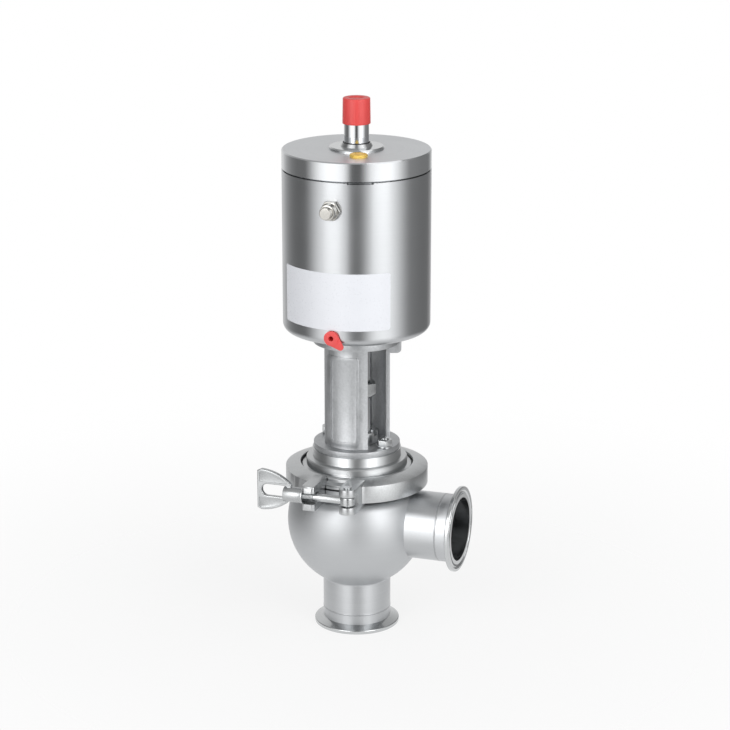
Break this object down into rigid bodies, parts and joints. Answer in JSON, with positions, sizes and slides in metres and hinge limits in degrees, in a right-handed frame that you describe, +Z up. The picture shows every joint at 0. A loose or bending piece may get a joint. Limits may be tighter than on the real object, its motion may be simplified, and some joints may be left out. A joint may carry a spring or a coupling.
{
  "type": "sanitary angle seat valve",
  "caption": "Air-operated stainless angle valve: ball-shaped body, clamp ports below and at the side, swing-bolt clamp, lantern yoke, spring-return cylinder on top.",
  "frame": {"origin": "centre of the bottom port's clamp face", "axes": "+Z up along the valve stem, +X out of the side port, -Y towards the clamp's swing bolt"},
  "size_m": [0.1364, 0.1339, 0.4023],
  "materials": {
    "body_steel": "satin, bead blasted",
    "port_steel": "polished",
    "turned_steel": "fine turned",
    "cast_steel": "investment cast, blasted",
    "cylinder_steel": "drawn tube, satin polished",
    "cover_steel": "turned and satin polished",
    "clamp_steel": "cast, tumbled",
    "rod_steel": "hard chromed and ground",
    "bolt_steel": "machined",
    "wing_steel": "cast, tumbled",
    "spring_steel": "shot peened",
    "piston_metal": "turned",
    "seal_rubber": "moulded",
    "wiper_rubber": "moulded",
    "gasket_rubber": "moulded, white",
    "bearing_plastic": "turned PTFE",
    "red_plastic": "moulded, semi-gloss",
    "bronze": "sintered, porous",
    "brass": "turned"
  },
  "bodies": {
    "valve_body": {"body_shell": "body_steel", "bottom_ferrule": "port_steel", "side_ferrule": "port_steel", "body_gasket": "gasket_rubber", "bonnet": "turned_steel", "stem_seal": "seal_rubber", "stem_bush": "bearing_plastic", "gland_nut": "turned_steel", "yoke": "cast_steel", "yoke_studs": "bolt_steel", "yoke_washers": "bolt_steel", "yoke_nuts": "bolt_steel", "actuator_cylinder": "cylinder_steel", "cylinder_screws": "bolt_steel", "rod_bush": "bearing_plastic", "rod_seal": "seal_rubber", "top_cover": "cover_steel", "cover_o_ring": "seal_rubber", "retaining_wire": "bolt_steel", "rod_guide": "turned_steel", "rod_wiper": "wiper_rubber", "breather_vent": "bronze", "upper_port_fitting": "brass", "actuator_spring": "spring_steel", "clamp_half_fixed": "clamp_steel", "clamp_hinge_pin": "bolt_steel", "bolt_pin": "bolt_steel"},
    "stem_group": {"piston_rod": "rod_steel", "piston": "piston_metal", "piston_seal": "seal_rubber", "piston_guide_ring": "bearing_plastic", "piston_nut": "bolt_steel", "lock_nut": "bolt_steel", "valve_stem": "rod_steel", "valve_plug": "turned_steel", "plug_seal": "bearing_plastic", "seal_retainer": "turned_steel", "retainer_screw": "bolt_steel"},
    "cap": {"rod_cap": "red_plastic"},
    "dust_plug": {"inlet_plug": "red_plastic"},
    "swinging_half": {"clamp_half_swinging": "clamp_steel"},
    "swing_bolt": {"eye_bolt": "bolt_steel"},
    "washer": {"nut_washer": "bolt_steel"},
    "wing": {"wing_nut": "wing_steel"}
  },
  "joints": [
    {"name": "valve_lift", "type": "slide", "parent": "valve_body", "child": "stem_group", "axis": [0, 0, 1], "range_m": [0, 0.02], "stiffness_N_per_m": 20000, "springref_m": -0.03, "deforming": ["actuator_spring"]},
    {"name": "cap_pull", "type": "slide", "parent": "stem_group", "child": "cap", "axis": [0, 0, 1], "range_m": [0, 0.018]},
    {"name": "plug_pull", "type": "slide", "parent": "valve_body", "child": "dust_plug", "axis": [0, -1, 0], "range_m": [0, 0.008]},
    {"name": "nut_travel", "type": "slide", "parent": "swing_bolt", "child": "washer", "axis": [-1, 0, 0], "range_m": [0, 0.009]},
    {"name": "nut_spin", "type": "hinge", "parent": "washer", "child": "wing", "pos_m": [-0.03, -0.063, 0.1186], "axis": [-1, 0, 0], "range_deg": [0, 3241]},
    {"name": "clamp_open", "type": "hinge", "parent": "valve_body", "child": "swinging_half", "pos_m": [0, 0.059, 0.1186], "axis": [0, 0, -1], "range_deg": [0, 4.2]},
    {"name": "bolt_swing", "type": "hinge", "parent": "valve_body", "child": "swing_bolt", "pos_m": [0.0148, -0.063, 0.1186], "axis": [0, 0, 1], "range_deg": [0, 100]}
  ],
  "couplings": [
    {"joint": "nut_spin", "follows": "nut_travel", "rad_per_m": 6283.2},
    {"joint": "clamp_open", "follows": "nut_travel", "rad_per_m": 7.9}
  ]
}
